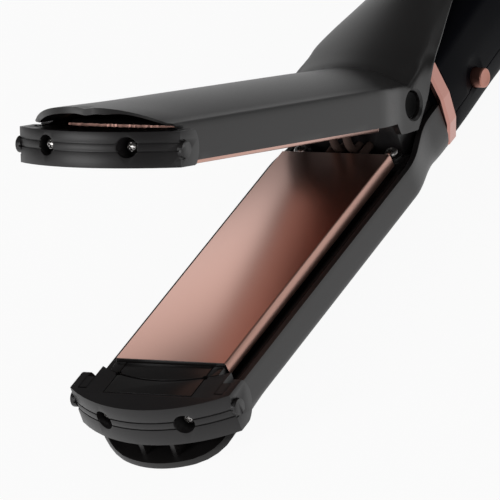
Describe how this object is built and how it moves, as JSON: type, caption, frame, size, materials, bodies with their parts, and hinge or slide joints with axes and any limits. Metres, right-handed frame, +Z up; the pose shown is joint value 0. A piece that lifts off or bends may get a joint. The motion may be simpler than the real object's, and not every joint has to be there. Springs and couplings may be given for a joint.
{
  "type": "hair waver",
  "caption": "Hand-held hair waver: two heated plates in hinged tongs, with a hooded arm over a faceted handle and a side power button.",
  "frame": {"origin": "on the flat strip under the lower tong, straight below the pivot, on the middle plane", "axes": "+X across the tongs towards the power button, +Y from the tip towards the cord end, +Z up from the underside towards the upper arm"},
  "size_m": [0.058, 0.3067, 0.1113],
  "materials": {
    "charcoal_shell": "satin moulded, fine grain",
    "handle_plastic": "satin moulded, smooth",
    "black_heat_plastic": "semi-gloss moulded heat-resistant plastic",
    "copper_plate": "copper-rose ceramic coat, polished",
    "rose_gold": "rose-gold plated, satin",
    "screw_steel": "bright zinc",
    "ceramic": "unglazed",
    "lead_sleeve": "woven glass sleeve",
    "board_laminate": "solder mask"
  },
  "bodies": {
    "lower_half": {"lower_shell": "charcoal_shell", "lower_end_cap": "black_heat_plastic", "lower_plate_carrier": "black_heat_plastic", "lower_plate": "copper_plate", "lower_heater": "ceramic", "lower_temperature_sensor": "ceramic", "lower_cap_screw_left": "screw_steel", "lower_cap_screw_right": "screw_steel", "lower_rear_screw_left": "screw_steel", "lower_rear_screw_right": "screw_steel", "lower_lead_left": "lead_sleeve", "lower_lead_right": "lead_sleeve", "upper_lead_left": "lead_sleeve", "upper_lead_right": "lead_sleeve", "hinge_block": "black_heat_plastic", "hinge_pin_left": "black_heat_plastic", "hinge_pin_right": "black_heat_plastic", "hinge_spring": "screw_steel", "collar_ring": "rose_gold", "handle_upper_shell": "handle_plastic", "handle_lower_shell": "handle_plastic", "handle_screw_front": "screw_steel", "handle_screw_rear": "screw_steel", "circuit_board": "board_laminate", "tact_switch": "black_heat_plastic", "cord_bush": "handle_plastic"},
    "upper_half": {"upper_shell": "charcoal_shell", "upper_end_cap": "black_heat_plastic", "upper_plate_carrier": "black_heat_plastic", "upper_plate": "copper_plate", "upper_back_plate": "copper_plate", "upper_heater": "ceramic", "upper_temperature_sensor": "ceramic", "upper_cap_screw_left": "screw_steel", "upper_cap_screw_right": "screw_steel", "upper_rear_screw_left": "screw_steel", "upper_rear_screw_right": "screw_steel"},
    "power_button": {"power_button": "rose_gold"}
  },
  "joints": [
    {"name": "jaw_hinge", "type": "hinge", "parent": "lower_half", "child": "upper_half", "pos_m": [0, 0, 0.0294], "axis": [1, 0, 0], "range_deg": [0, 29.4], "stiffness_Nm_per_rad": 0.6, "springref_deg": -20.05, "deforming": ["hinge_spring", "upper_lead_left", "upper_lead_right"]},
    {"name": "button_press", "type": "slide", "parent": "lower_half", "child": "power_button", "axis": [-1, 0, 0], "range_m": [0, 0.0008], "stiffness_N_per_m": 600, "springref_m": -0.0008}
  ]
}
